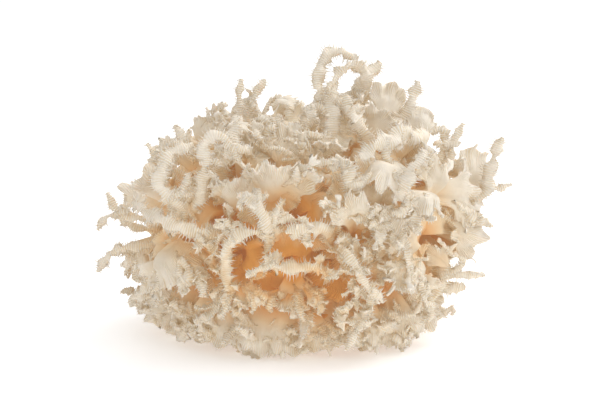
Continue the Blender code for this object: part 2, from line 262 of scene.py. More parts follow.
def heart_point(towards, depth=ROOT_DEPTH):
    """A point inside the heart, on the way from its middle towards a place."""
    way = (towards - HEART_MIDDLE) / HEART_HALF_SIZE
    return HEART_MIDDLE + HEART_HALF_SIZE * unit(way) * depth


flesh = make_flesh()
deselect()
bpy.ops.mesh.primitive_ico_sphere_add(subdivisions=6, radius=MM)
heart = bpy.context.object
heart.name = "heart"
move_to(heart, heart_surface(places_of(heart)))
bpy.ops.object.mode_set(mode="EDIT")
bpy.ops.mesh.select_all(action="SELECT")
bpy.ops.mesh.bisect(plane_co=(0, 0, 0), plane_no=(0, 0, 1), use_fill=True, clear_inner=True, threshold=1e-6)
bpy.ops.object.mode_set(mode="OBJECT")
dress(heart)

# The ribbons. They are flat branches of flesh, thick at the root, that rise out of the heart and curl
# over. Spines lie side by side across them, about one to a millimetre, and stand out as a comb.
VIEW_UP = math.radians(12.0)
VIEW_DISTANCE = 731.0
VIEW_MIDDLE = np.array([1.7, 54.2])
SEEN_STEPS = 3
FACING_VIEW = np.array([0.0, -1.0, 0.25])
ROOT_THICKNESS = 3.4
LOBE_PITCH = 9.0
LOBE_LENGTH = 3.2
LINE_STEPS = 48
BEND_BELOW = 3.0
LOWEST_POINT = 0.4
BAND_STEP = 1.0
BAND_SHARE = 0.86
BAND_NICKS = 1.7
BAND_WAVES = [(7.5, 1.2), (3.3, 0.6)]
TWIST = 0.6
TWIST_LONG = 17.0
SPINE_STEP = 0.9
SHORTEST_SPINE = 0.8
COMB_LENGTH = 2.4
BAND_STOUT = [0.15, 0.75, 1.0, 0.75, 0.15]
STOUT_LEVELS = 10
RIB_STEP = 0.95
RIBBONS = [
    ([(-45, 50, 36), (-53, 54, 44), (-60, 60, 46), (-61, 68, 44), (-56, 76, 40), (-47, 80, 36)], 3.0),
    (
        [(-46, 50, 38), (-43, 60, 42), (-42, 70, 43), (-42, 79, 44), (-37, 84, 45), (-32, 80, 44),
         (-33, 74, 42)],
        2.6,
    ),
    ([(-36, 66, 30), (-32, 76, 36), (-30, 84, 36), (-29, 92, 30)], 4.0),
    ([(-28, 38, 44), (-40, 41, 50), (-52, 44, 50), (-64, 49, 44), (-73, 55, 34)], 2.8),
    ([(-30, 18, 48), (-33, 27, 54), (-32, 35, 56), (-27, 41, 57), (-20, 42, 57), (-12, 40, 55)], 2.6),
    ([(14, 24, 46), (6, 27, 54), (-4, 27, 57), (-12, 27, 59), (-16, 32, 60)], 2.2),
    ([(14, 66, 16), (12, 80, 19), (9, 95, 18), (7, 108, 14), (9, 116, 10), (16, 120, 8), (24, 116, 10)], 2.6),
    ([(20, 84, 8), (26, 98, 4), (27, 111, 8), (21, 114, 14), (14, 108, 18), (10, 100, 21)], 2.6),
    ([(13, 72, 24), (13, 86, 24), (12, 96, 20), (14, 107, 16)], 4.2),
    ([(28, 80, 22), (24, 89, 24), (20, 95, 24), (19, 101, 22)], 3.0),
    ([(22, 98, 2), (27, 107, 4), (34, 115, 2)], 3.8),
    ([(42, 88, 8), (47, 98, 8), (50, 107, 6)], 2.6),
    ([(52, 80, 14), (45, 84, 28), (34, 80, 40), (25, 74, 46)], 4.4),
    ([(24, 54, 44), (21, 62, 49), (19, 73, 46)], 3.6),
    ([(42, 60, 46), (47, 69, 48), (53, 77, 44)], 3.2),
    ([(76, 58, 6), (81, 70, 6), (86, 83, 4)], 2.8),
    ([(-12, 42, 54), (-17, 50, 58), (-25, 59, 56)], 3.6),
    ([(12, 42, 52), (3, 44, 58), (-7, 42, 60)], 2.8),
    ([(52, 12, 24), (60, 22, 24), (62, 33, 22)], 3.0),
    ([(46, 18, 18), (58, 18, 16), (70, 18, 12)], 3.2),
    ([(18, 34, 56), (24, 26, 58), (28, 19, 58), (35, 12, 56)], 1.7),
    ([(28, 10, 50), (24, 1, 56), (19, -9, 60)], 1.8),
]


def seen(point):
    """The place of a point that was laid out as seen: across, up as seen, towards the viewer."""
    laid, near = np.array(point[:2], float), point[2]
    height = laid[1]
    for _ in range(SEEN_STEPS):
        closer = near * math.cos(VIEW_UP) + height * math.sin(VIEW_UP)
        across, up = VIEW_MIDDLE + (laid - VIEW_MIDDLE) * (1 - closer / VIEW_DISTANCE)
        height = (up + near * math.sin(VIEW_UP)) / math.cos(VIEW_UP)
    return np.array([across, -near, height])


def curved(before, start, end, after, t):
    """A point of the smooth curve from start to end, at share t."""
    return 0.5 * (
        2 * start
        + (end - before) * t
        + (2 * before - 5 * start + 4 * end - after) * t**2
        + (3 * start - before - 3 * end + after) * t**3
    )


class Line:
    """A smooth line through some points, with a sheet's facing carried along it without twist."""

    def __init__(self, points, facing):
        points = np.array(points, float)
        ends = [2 * points[0] - points[1], *points, 2 * points[-1] - points[-2]]
        dense = []
        for four in zip(ends, ends[1:], ends[2:], ends[3:]):
            dense += [curved(*four, t) for t in np.linspace(0, 1, 12, endpoint=False)]
        dense = np.array([*dense, points[-1]])
        walked = np.concatenate([[0], np.cumsum(np.linalg.norm(np.diff(dense, axis=0), axis=1))])
        self.length = walked[-1]
        self.shares = np.linspace(0, 1, LINE_STEPS)
        self.places = self.mix(self.shares, walked / self.length, dense)
        ahead = np.gradient(self.places, axis=0)
        self.ahead = ahead / np.linalg.norm(ahead, axis=1)[:, None]
        self.facings = self.carried(unit(np.array(facing, float)))

    @staticmethod
    def mix(at, shares, values):
        return np.stack([np.interp(at, shares, values[:, k]) for k in range(3)], axis=1)

    def carried(self, facing):
        """The facing at each place: as near as can be to the one asked for at the middle of the line."""
        middle = LINE_STEPS // 2
        found = np.zeros_like(self.places)
        start = facing - self.ahead[middle] * (facing @ self.ahead[middle])
        for steps in (range(middle, LINE_STEPS), range(middle, -1, -1)):
            now = unit(start)
            for i in steps:
                now = unit(now - self.ahead[i] * (now @ self.ahead[i]))
                found[i] = now
        return found

    def at(self, shares):
        """Places, directions ahead, facings and sideways directions at shares of the length."""
        place = self.mix(shares, self.shares, self.places)
        ahead = self.mix(shares, self.shares, self.ahead)
        facing = self.mix(shares, self.shares, self.facings)
        ahead /= np.linalg.norm(ahead, axis=1)[:, None]
        facing /= np.linalg.norm(facing, axis=1)[:, None]
        return place, ahead, facing, np.cross(ahead, facing)


def foot_of(root, ahead):
    """Where a frond starts: inside the heart, on the far side of its root from where it goes."""
    return heart_point(root - FOOT_LEAN * (ahead - root))


def facing_of(points):
    """Which way a ribbon's face looks: to the viewer on the front, away from the heart elsewhere."""
    middle = np.mean(points[len(points) // 2:], axis=0)
    out = unit((middle - EGG_MIDDLE) / EGG_HALF_SIZE)
    return FACING_VIEW * max(0.0, 0.35 - out[1]) + 0.6 * out


def lobes_of(count, draw):
    """How far each lobe of a margin stands out, between valleys that don't."""
    tips = np.arange(2 * count + 1) % 2
    return tips * LOBE_LENGTH * np.array([draw.uniform(0.7, 1.3) for _ in tips])


def at_share(shares, values):
    return np.interp(shares, np.linspace(0, 1, len(values)), values)


def smooth_share(shares, values):
    """Values along a margin, joined by smooth waves."""
    values, at = np.asarray(values), shares * (len(values) - 1)
    low = np.minimum(at.astype(int), len(values) - 2)
    mix = 0.5 - 0.5 * np.cos((at - low) * math.pi)
    return values[low] * (1 - mix) + values[low + 1] * mix


def lifted(places):
    """The same places, bent off the floor where they would sink into it."""
    places = places.copy()
    low = places[..., 2] < BEND_BELOW
    room = BEND_BELOW - LOWEST_POINT
    places[low, 2] = LOWEST_POINT + room * np.exp((places[low, 2] - BEND_BELOW) / room)
    return places


def blade(places, stout, long, ribbed, inner):
    """One blade, from a flat grid whose points are each moved to their place.

    stout is its thickness at each point and long its length across the ribs. For each row, ribbed says how
    strong the ribs are and inner how far it lies from the margin.
    """
    columns, rows = places.shape[0] - 1, places.shape[1] - 1
    bpy.ops.mesh.primitive_grid_add(x_subdivisions=columns, y_subdivisions=rows, size=2)
    piece = bpy.context.object
    flat = places_of(piece) * MM
    column = np.rint((flat[:, 0] + 1) / 2 * columns).astype(int)
    row = np.rint((flat[:, 1] + 1) / 2 * rows).astype(int)
    move_to(piece, places[column, row])
    piece.data.uv_layers[0].name = "UVMap"
    uv = np.empty(len(piece.data.loops) * 2)
    piece.data.uv_layers[0].data.foreach_get("uv", uv)
    uv[::2] *= round(long / RIB_STEP)
    piece.data.uv_layers[0].data.foreach_set("uv", uv)
    marks = piece.data.attributes.new("ribbed", "FLOAT", "POINT")
    marks.data.foreach_set("value", np.asarray(ribbed, np.float32)[row])
    marks = piece.data.attributes.new("inner", "FLOAT", "POINT")
    marks.data.foreach_set("value", np.asarray(inner, np.float32)[row])
    group = piece.vertex_groups.new(name="stout")
    levels = np.rint(np.clip(stout, 0.1, 1)[column, row] * STOUT_LEVELS).astype(int)
    for level in np.unique(levels):
        group.add(np.flatnonzero(levels == level).tolist(), level / STOUT_LEVELS, "REPLACE")
    return piece


def joined(pieces):
    deselect()
    for piece in pieces:
        piece.select_set(True)
    bpy.context.view_layer.objects.active = pieces[0]
    bpy.ops.object.join()
    return bpy.context.object


def grown_together(name, blades):
    """Some blades as one piece, given their thickness and dressed."""
    piece = joined(blades)
    piece.name = name
    wall = piece.modifiers.new("thickness", "SOLIDIFY")
    wall.thickness, wall.offset = ROOT_THICKNESS * MM, 0
    wall.vertex_group = "stout"
    bpy.ops.object.modifier_apply(modifier=wall.name)
    move_to(piece, lifted(places_of(piece)))
    dress(piece)


spines = []
bands = []
tooth_draw = random.Random(3)


def lay_spines(roots, tips, wild):
    """Keeps a row of spines for later, each from its root to its tip."""
    for root, tip in zip(roots, tips):
        length = np.linalg.norm(tip - root)
        if length > SHORTEST_SPINE:
            spines.append((root, tip - root, wild.uniform(0, 6.3), length))


def ribbon(points, half_width, draw, wild):
    line = Line(points, facing_of(points))
    lobes = [lobes_of(max(3, round(line.length / LOBE_PITCH)), draw) for _ in range(2)]
    return band(line, half_width, lobes, COMB_LENGTH * min(1, half_width / 2.0), wild)


def band(line, half_width, lobes, comb, wild, root_share=0.25, slim=False):
    """A band along a line, with a row of spines laid across each half of its face."""
    phases = [wild.uniform(0, 6) for _ in range(5)]
    steps = max(4, round(line.length / BAND_NICKS))
    nicks = [np.array([wild.uniform(-0.5, 0.5) for _ in range(steps)]) for _ in range(2)]
    small = min(1, half_width / 2.5)

    def across(shares, hand):
        """Across a half of the band: its middle, three ways, its width, its thickness and its wave."""
        place, ahead, facing, side = line.at(shares)
        walked = shares * line.length
        twist = TWIST * np.sin(walked / TWIST_LONG * 2 * math.pi / (0.6 + 0.4 * small) + phases[0])[:, None]
        cos, sin = np.cos(twist), np.sin(twist)
        side, facing = side * cos + facing * sin, facing * cos - side * sin
        spread = half_width * np.interp(shares, [0, 0.3, 0.75, 1], [0.7, 1, 1, 0.45])
        grown = np.interp(shares, [0, root_share], [0, 1])
        thick = np.interp(shares, [0, 0.4, 1], [ROOT_THICKNESS, 1.6, 1.0]) * min(1, half_width / 2.2)
        n = (hand + 1) // 2
        lobed = 0.4 * grown * smooth_share(shares, lobes[n])
        full = 0.86 * spread + lobed + grown * small * at_share(shares, nicks[n])
        wave = small * sum(
            high * np.sin(walked / long * 2 * math.pi + start)
            for (long, high), start in zip(BAND_WAVES, phases[1 + n::2])
        )
        return place, ahead, facing, side * hand, full, thick, wave * grown - 0.15 * full

    bands.append((line, half_width))
    columns = max(6, round(line.length / BAND_STEP))
    shares = np.linspace(0, 1, columns + 1)
    rows = [[], []]
    for hand, row in zip((-1, 1), rows):
        place, ahead, facing, side, full, thick, wave = across(shares, hand)
        row.append(place + side * (BAND_SHARE * full)[:, None] + facing * wave[:, None])
        if not slim:
            row.append(place + side * (0.45 * full)[:, None] + facing * (0.3 * thick + 0.3 * wave)[:, None])
    places = np.stack([*rows[0], place + facing * (0.4 * thick)[:, None], *reversed(rows[1])], axis=1)
    stout = np.array(BAND_STOUT[::2] if slim else BAND_STOUT)[None, :] * (thick / ROOT_THICKNESS)[:, None]
    shares = np.arange(root_share * line.length, line.length, SPINE_STEP) / line.length
    shares = np.clip(shares + np.array([wild.uniform(-0.2, 0.2) for _ in shares]) / line.length, 0, 1)
    for hand in (-1, 1):
        place, ahead, facing, side, full, thick, wave = across(shares, hand)
        tooth = comb * np.array([wild.uniform(0.4, 1.1) for _ in shares])
        lift = wave + np.array([wild.uniform(-0.4, 0.4) for _ in shares]) - 0.2 * tooth
        roots = place + side * (0.6 * full)[:, None] + facing * (0.7 * wave + 0.15)[:, None] - ahead * 0.2
        bent = np.array([tooth_draw.uniform(-0.5, 1.0) for _ in shares])
        tips = place + side * (full + tooth)[:, None] + facing * lift[:, None] + ahead * bent[:, None]
        lay_spines(roots, tips, wild)
    inner = [0.0, 1.0, 0.0] if slim else [0.0, 0.5, 1.0, 0.5, 0.0]
    return blade(places, stout, line.length, [1.0] * places.shape[1], inner)


draw, wild = random.Random(8), random.Random(21)
ribbon_lines = [([seen(p) for p in points], half_width) for points, half_width in RIBBONS]
ribbons = [ribbon([foot_of(*points[:2]), *points], wide, draw, wild) for points, wide in ribbon_lines]
grown_together("ribbons", ribbons)

# The sprigs. They are slim antlers of the same flesh, round and brittle, that stand out at the sides
# and the top and hang in front of the deepest gap.
SPRIGS = [
    ([(-70, 48, 14), (-79, 51, 14), (-84, 59, 12)], 1.6),
    ([(-70, 44, 8), (-79, 49, 8), (-85, 48, 8), (-88, 43, 8)], 1.2),
    ([(-68, 36, 14), (-78, 35, 14), (-84, 31, 12), (-88, 25, 12)], 1.8),
    ([(-50, 16, 22), (-62, 15, 22), (-73, 14, 20)], 1.8),
    ([(-58, 70, 18), (-62, 75, 16), (-67, 80, 14)], 1.4),
    ([(-48, 78, 18), (-52, 84, 16), (-55, 88, 14)], 1.3),
    ([(-26, 90, 16), (-27, 99, 16), (-26, 108, 14)], 1.5),
    ([(-24, 88, 14), (-21, 99, 14), (-16, 108, 12)], 1.6),
    ([(10, 92, 20), (5, 96, 20), (2, 96, 20)], 1.4),
    ([(60, 70, 12), (65, 80, 12), (69, 89, 10)], 1.5),
    ([(56, 66, 12), (61, 78, 11), (61, 88, 8)], 1.3),
    ([(78, 60, 4), (85, 61, 4), (90, 63, 2)], 1.4),
    ([(30, 12, 48), (22, 11, 56), (15, 9, 58)], 1.7),
    ([(32, 20, 48), (24, 18, 55), (17, 15, 58)], 1.5),
    ([(30, 4, 50), (22, 4, 56), (15, 2, 59)], 1.6),
    ([(28, 26, 50), (18, 25, 56), (10, 22, 58)], 1.6),
    ([(-38, 30, 46), (-36, 38, 52), (-31, 45, 54)], 1.5),
]

sprig_lines = [([seen(p) for p in points], half_width) for points, half_width in SPRIGS]
sprigs = [ribbon([foot_of(*points[:2]), *points], wide, draw, wild) for points, wide in sprig_lines]
grown_together("sprigs", sprigs)

# The fans. Each is a thin blade that widens from its foot in the heart, bends to face outwards and ends
# in a lobed, frilled margin. Ribs spread over it like a shell's and run out into a fringe of spines.
FAN_COLUMN = 0.9
FAN_ROWS = [-1.0, -0.65, -0.3, 0.0, 0.16, 0.3, 0.42, 0.54, 0.66, 0.78, 0.9, 1.0]
FRILLS = [(8.5, 1.6), (3.7, 0.6)]
HILLS = [(8.0, 3.2), (3.4, 1.9)]
SPLIT_STEP = 4.5
SPLIT_DEPTH = 0.22
NOTCH_STEP = 2.1
NOTCH_DEPTH = 1.7
FRINGE = 1.5
FANS = [
    ((-42, 78, 8), (-43, 95, 10), 80),
    ((-52, 72, 12), (-59, 86, 12), 80),
    ((-56, 54, 20), (-70, 73, 22), 65),
    ((-62, 52, 10), (-80, 64, 8), 75),
    ((-64, 40, 10), (-78, 24, 14), 80),
    ((-58, 18, 4), (-73, 4, 10), 80),
    ((-50, 16, 14), (-67, -2, 17), 80),
    ((-60, 42, 32), (-46, 16, 48), 80),
    ((-58, 32, 32), (-68, 15, 33), 80),
    ((-48, 20, 24), (-53, -4, 28), 80),
    ((-38, 18, 32), (-42, -8, 37), 90),
    ((-30, 14, 37), (-31, -12, 44), 80),
    ((-26, 27, 42), (-28, 10, 51), 80),
    ((-4, 27, 43), (-3, 9, 54), 80),
    ((-17, 14, 39), (-18, -14, 49), 90),
    ((-6, 14, 39), (-7, -14, 49), 80),
    ((2, 10, 40), (7, -12, 48), 90),
    ((28, 30, 44), (18, 33, 56), 60),
    ((29, 14, 38), (27, -11, 44), 80),
    ((40, 16, 32), (42, -10, 38), 80),
    ((46, 18, 26), (54, -5, 29), 80),
    ((46, 18, 20), (61, 3, 20), 70),
    ((48, 26, 32), (57, 10, 34), 80),
    ((48, 36, 34), (44, 18, 48), 80),
    ((56, 42, 32), (32, 37, 54), 60),
    ((56, 46, 18), (83, 42, 16), 80),
    ((48, 40, 14), (64, 33, 16), 60),
    ((56, 60, 20), (80, 56, 14), 80),
    ((66, 54, 2), (83, 78, 2), 80),
    ((50, 64, 36), (54, 44, 50), 70),
    ((56, 56, 24), (58, 76, 30), 70),
    ((46, 80, 12), (56, 98, 10), 80),
    ((34, 86, 8), (39, 109, 4), 70),
    ((36, 76, 36), (37, 58, 54), 90),
    ((28, 82, 14), (38, 98, 16), 80),
    ((24, 42, 44), (22, 60, 57), 80),
    ((42, 54, 40), (36, 42, 54), 80),
    ((-24, 62, 24), (-22, 87, 34), 60),
    ((-12, 52, 40), (-9, 77, 54), 100),
    ((-24, 50, 40), (-29, 67, 50), 80),
    ((-16, 76, 10), (-17, 94, 6), 60),
    ((-3, 74, 10), (-5, 89, 6), 70),
    ((-6, 66, 30), (-7, 90, 30), 80),
    ((4, 62, 30), (3, 84, 36), 70),
]


def hilly(places):
    """How far soft hills and knobs stand out of a blade at some places."""
    return sum(high * uneven(places / long) for long, high in HILLS)


fan_faces = []


def fan(root, tip, spread, facing, draw, wild):
    reach = np.linalg.norm(tip - root)
    count = max(3, round(math.radians(spread) * reach / LOBE_PITCH))
    turn, phase = draw.uniform(3, 5), draw.uniform(0, 6)
    cup = draw.uniform(-0.25, 0.05) * reach
    lobes = lobes_of(count, draw)
    return petal(foot_of(root, tip), root, tip, spread, facing, turn, phase, cup, lobes, FRINGE, wild)


def depths(count, wild):
    """How deep some cuts in a margin are, as shares. Most are shallow."""
    return np.array([wild.random() ** 1.5 for _ in range(max(3, count))])


def petal(
    foot, root, tip, spread, facing, turn, phase, cup, lobes, fringe, wild,
    rows=FAN_ROWS, column=FAN_COLUMN, deep=0.0,
):
    """A fan blade from its foot past its root to its tip, with a fringe of spines along its margin.

    Its ruffle has turn waves across it from phase on, cup is how far it bends towards its face, column is
    the distance between columns, and deep says how far inside the fungus the whole of it lies.
    """
    reach = np.linalg.norm(tip - root)
    ahead = (tip - root) / reach
    facing = unit(facing - ahead * (facing @ ahead))
    side = np.cross(ahead, facing)
    arc = math.radians(spread) * reach
    starts = [wild.uniform(0, 6) for _ in FRILLS]
    size = min(1, 0.25 + reach / 22)
    notches = depths(round(arc / NOTCH_STEP / size), wild) * NOTCH_DEPTH
    splits = depths(round(arc / SPLIT_STEP), wild) * SPLIT_DEPTH

    def sheet(shares, t):
        """Places on the blade at shares across and heights: -1 the foot, 0 the bend, 1 the margin."""
        angles = np.radians(spread) * (shares - 0.5)
        ways = np.cos(angles)[:, None] * ahead + np.sin(angles)[:, None] * side
        ruffle = 0.12 * reach * np.sin(angles * turn + phase)
        frill = size * sum(
            high * np.sin(shares * arc / long / size * 2 * math.pi + start)
            for (long, high), start in zip(FRILLS, starts)
        )
        lobed = (0.6 * smooth_share(shares, lobes) - 0.8 * LOBE_LENGTH) * min(1, reach / 16)
        margin = reach * (1 - 0.15 * (2 * shares - 1) ** 2) + lobed
        margin = margin * (1 - smooth_share(shares, splits)) - smooth_share(shares, notches) * size
        outer = root + ways * margin[:, None] + facing * (cup + ruffle)[:, None]
        bend = root + ways * (0.3 * reach) + facing * (0.3 * ruffle)[:, None]
        feet = np.tile(foot, (len(shares), 1))
        if np.ndim(t) == 0:
            t = np.full(len(shares), float(t))
        t = t[:, None]
        below = curved(2 * feet - bend, feet, bend, outer, t + 1)
        above = curved(feet, bend, outer, 2 * outer - bend, t)
        high = frill * np.clip(t[:, 0], 0, 1) ** 3 + hilly(above) * size * np.clip(1.4 * t[:, 0], 0, 1)
        return np.where(t < 0, below, above + facing * high[:, None]), facing, ways

    columns = max(6, round(arc / column))
    shares = np.linspace(0, 1, columns + 1)
    places = np.stack([sheet(shares, t)[0] for t in rows], axis=1)
    stout = np.interp(rows, [-1, 0, 0.75, 1], [0.8, 0.55, 0.25, 0.12]) * min(1, reach / 16 + 0.2)
    shares = np.linspace(0, 1, max(6, round(arc / SPINE_STEP)) + 1)
    starts_at = sheet(shares, 0.9)[0] + facing * 0.1
    ends_at, _, ways = sheet(shares, 1.0)
    fringe = fringe * np.array([wild.uniform(0.2, 1.2) for _ in shares])
    tilt = np.array([wild.uniform(-0.7, 0.5) for _ in shares])
    lay_spines(starts_at, ends_at + ways * fringe[:, None] + facing * (tilt * fringe)[:, None], wild)
    fan_faces.append((sheet, arc))
    ribbed = np.interp(rows, [-1, 0.1, 0.5, 1], [0, 0.3, 0.9, 1.0])
    # deep moves the whole blade nearer to ochre, partly as painted shade of the gaps.
    inner = np.interp(rows, [-1, 0, 0.5, 1], [1.4, 1.2, 0.4, 0]) + deep
    return blade(places, np.tile(stout, (columns + 1, 1)), arc, ribbed, inner)


fan_lines = []
for root, tip, spread in FANS:
    root, tip = seen(root), seen(tip)
    fan_lines.append((root, tip, spread, facing_of([root, tip])))
fans = [fan(*line, draw, wild) for line in fan_lines]
grown_together("fans", fans)

# The fronds of the back, the sides and the gaps. They are ribbons and fans like the others, spread
# evenly over the rounded outline wherever those leave room, and hang down near the floor.
FILL_TRIES = 400
FILL_CLEARANCE = 17.2
FILL_LOWEST = -0.85
FILL_FAN_SHARE = 0.7
HANG = 2.5
GOLDEN_ANGLE = math.pi * (3 - math.sqrt(5))
HOLLOWS = [
    (10, 11, 9),
    (13, 70, 6),
    (16, 98, 9),
    (-47, 68, 6),
    (-56, 50, 6),
    (-18, 34, 6),
    (-22, 25, 4),
    (72, 24, 6),
]
HOLLOWS_BACK = 25.0


def ways_round(count, lowest):
    """Ways out, spread evenly from straight up down to a lowest height."""
    for n in range(count):
        height = 1 - (n + 0.5) / count * (1 - lowest)
        flat = math.sqrt(1 - height**2)
        yield np.array([flat * math.cos(n * GOLDEN_ANGLE), flat * math.sin(n * GOLDEN_ANGLE), height])


def on_egg(way, reach):
    """The place along a way out that is a share of the distance to the rounded outline."""
    return EGG_MIDDLE + EGG_HALF_SIZE * ([1, 1, 1] if way[2] > 0 else [1, 1, EGG_SQUAT_BELOW]) * way * reach


def leaning(out, lean):
    """A way square to the way out, at an angle."""
    across = unit(np.cross(out, [0.3, 0.2, 1]))
    return math.cos(lean) * across + math.sin(lean) * np.cross(out, across)


def fill_fronds(taken, draw):
    """The lines of ribbons and fans wherever the laid-out ones leave room."""
    ribbons, fans = [], []
    for out in ways_round(FILL_TRIES, FILL_LOWEST):
        lean, wide, fan = draw.uniform(0, 2 * math.pi), draw.uniform(2.8, 4.2), draw.random() < FILL_FAN_SHARE
        long, reach = draw.uniform(18, 27) if fan else draw.uniform(16, 24), draw.uniform(0.74, 0.84)
        place = on_egg(out, reach)
        up = place[2] * math.cos(VIEW_UP) + place[1] * math.sin(VIEW_UP)
        inside = any(math.hypot(place[0] - x, up - h) < r + long / 3 for x, h, r in HOLLOWS)
        if place[1] < HOLLOWS_BACK and inside:
            continue
        if min(np.linalg.norm(place - other) for other in taken) < FILL_CLEARANCE:
            continue
        taken.append(place)
        hang = HANG * max(0.0, 0.3 - out[2])
        out = unit(out)
        along = unit(leaning(out, lean) + hang * np.array([0, 0, -1]))
        tip = place + along * long * 0.75 + out * long * 0.5
        if fan:
            fans.append((place, tip, 80, out + 0.3 * along))
        else:
            start = heart_point(place)
            bend = place + 0.25 * long * along + 0.35 * long * out
            ribbons.append(([start, place, bend, tip, tip + 0.3 * long * along - 0.3 * long * out], wide))
    return ribbons, fans


taken = []
for points, _ in ribbon_lines + sprig_lines:
    taken += points[len(points) // 2:]
for root, tip, _, _ in fan_lines:
    taken += [root, (root + tip) / 2, tip]
fill_ribbons, fill_fans = fill_fronds(taken, draw)
filling = [ribbon(points, wide, draw, wild) for points, wide in fill_ribbons]
filling += [fan(*line, draw, wild) for line in fill_fans]
grown_together("fronds_behind", filling)

# The inner sheets. Between the large fronds the flesh forms smooth ochre walls that lie close round the
# heart, one overlapping the next, and show in the gaps.
# Their ochre is partly the flesh's own colour and partly painted shade of the gaps.
SHEETS = 130
SHEETS_LOWEST = -0.6
SHEET_REACH = (0.68, 0.80)
SHEET_LONG = (17.0, 26.0)
SHEET_COLUMN = 2.0
# How much nearer to ochre the inner sheets are: partly the flesh's own colour, partly painted shade of the
# gaps.
SHEET_OCHRE_AND_PAINTED_SHADE = 0.75
SMALL_ROWS = [-1.0, 0.0, 0.3, 0.55, 0.8, 1.0]


def inner_sheets(draw):
    made = []
    for out in ways_round(SHEETS, SHEETS_LOWEST):
        place = on_egg(out, draw.uniform(*SHEET_REACH))
        along = leaning(out, draw.uniform(0, 2 * math.pi))
        long = draw.uniform(*SHEET_LONG)
        root = place - along * long * 0.5 - out * 3
        tip = place + along * long * 0.5 + out * draw.uniform(-2, 5)
        lobes = [draw.uniform(0, 3) for _ in range(6)]
        form = (heart_point(root), root, tip, 100, out, 3, draw.uniform(0, 6), 0, lobes, 1.0, draw)
        made.append(petal(*form, SMALL_ROWS, SHEET_COLUMN, SHEET_OCHRE_AND_PAINTED_SHADE))
    return made


sheets = inner_sheets(random.Random(31))
del fan_faces[-SHEETS:]
grown_together("inner_sheets", sheets)

# The small fronds. The same bands and fans, a centimetre or two long, grow all over the large ones and
# out of the heart between them, each leaning its own way and curling over at the end.
ON_FANS = 11
ON_RIBBONS = 3
ON_HEART = 320
ON_HEART_LOWEST = -0.8
SMALL_LONG = (9.0, 17.0)
HEART_LONG = (18.0, 30.0)
SMALL_WIDE = (1.4, 2.6)
SMALL_FRINGE = 1.3
STANDING = (0.1, 0.5)
FURTHEST = 0.98
SMALL_BAND_SHARE = 0.7
BATCH = 30
LOWEST_SEEN = -10.0
FOREMOST = -58.0
NOTCHES = [(-7, 102, 11), (66, 29, 7), (61, 14, 7), (-60, 102, 8)]


def perches(draw):
    """Where small fronds grow: a place, the way out of the parent there, the way ahead and a length."""
    found = []
    for n, (sheet, arc) in enumerate(fan_faces):
        on_front = n < len(FANS)
        for k in range(ON_FANS if on_front else ON_FANS - 3):
            share = np.array([draw.uniform(0.03, 0.97)])
            t = np.array([draw.uniform(0.8, 1) if k % 2 else draw.uniform(0.2, 0.8)])
            place, facing, ways = sheet(share, t)
            found.append((place[0], facing * draw.choice((1, 1, 1, -1)), ways[0], draw.uniform(*SMALL_LONG)))
    for points, wide in ribbon_lines + sprig_lines + fill_ribbons:
        line = Line(points, facing_of(points))
        for _ in range(ON_RIBBONS if wide > 2 else 2):
            share = np.array([draw.uniform(0.15, 0.95)])
            place, ahead, facing, side = line.at(share)
            hand = draw.choice((-1, 1))
            way = side[0] * hand + ahead[0] * draw.uniform(0.2, 1)
            long = draw.uniform(*SMALL_LONG) * min(1, wide / 2.5)
            found.append((place[0], facing[0] + side[0] * hand * 0.5, way, long))
    ways = np.array(list(ways_round(ON_HEART, ON_HEART_LOWEST)))
    for place, way in zip(heart_surface(ways), ways):
        if place[2] > 6:
            lean = unit(np.array([draw.gauss(0, 1) for _ in range(3)]))
            found.append((place - way, way, lean, draw.uniform(*HEART_LONG)))
    return found


def within(tip):
    """Whether a tip stays inside the rounded outline, clear of its notches and of the front of the base."""
    up = tip[2] * math.cos(VIEW_UP) + tip[1] * math.sin(VIEW_UP)
    closer = tip[2] * math.sin(VIEW_UP) - tip[1] * math.cos(VIEW_UP)
    laid = VIEW_MIDDLE + (np.array([tip[0], up]) - VIEW_MIDDLE) / (1 - closer / VIEW_DISTANCE)
    if up < LOWEST_SEEN or any(math.hypot(laid[0] - x, laid[1] - h) < r for x, h, r in NOTCHES):
        return False
    return tip[1] > FOREMOST and np.linalg.norm((tip - EGG_MIDDLE) / EGG_HALF_SIZE) < FURTHEST


def branched(line, wide, long, times, draw):
    """A small band with a comb on both edges, and smaller ones that fork off it."""
    lobes = [[0, draw.uniform(0.3, 1), 0, draw.uniform(0.3, 1), 0] for _ in range(2)]
    made = [band(line, wide, lobes, draw.uniform(0.8, 1.4), draw, 0.2, True)]
    hand = draw.choice((-1, 1))
    for n in range(times):
        share = 0.3 + 0.35 * n + draw.uniform(0, 0.15)
        place, ahead, facing, side = [values[0] for values in line.at(np.array([share]))]
        way = unit(ahead * 0.8 + side * hand * draw.uniform(0.6, 1.1) + facing * draw.uniform(-0.3, 0.5))
        over = way + unit(ahead + facing * draw.uniform(-1, 1)) * 0.6
        far = long * draw.uniform(0.3, 0.5)
        elbow = place + way * 0.5 * far
        fork = Line([place - way, elbow, elbow + over * 0.4 * far], facing)
        if within(place + way * far):
            made += branched(fork, wide * 0.75, far, 0, draw)
        hand = -hand
    return made


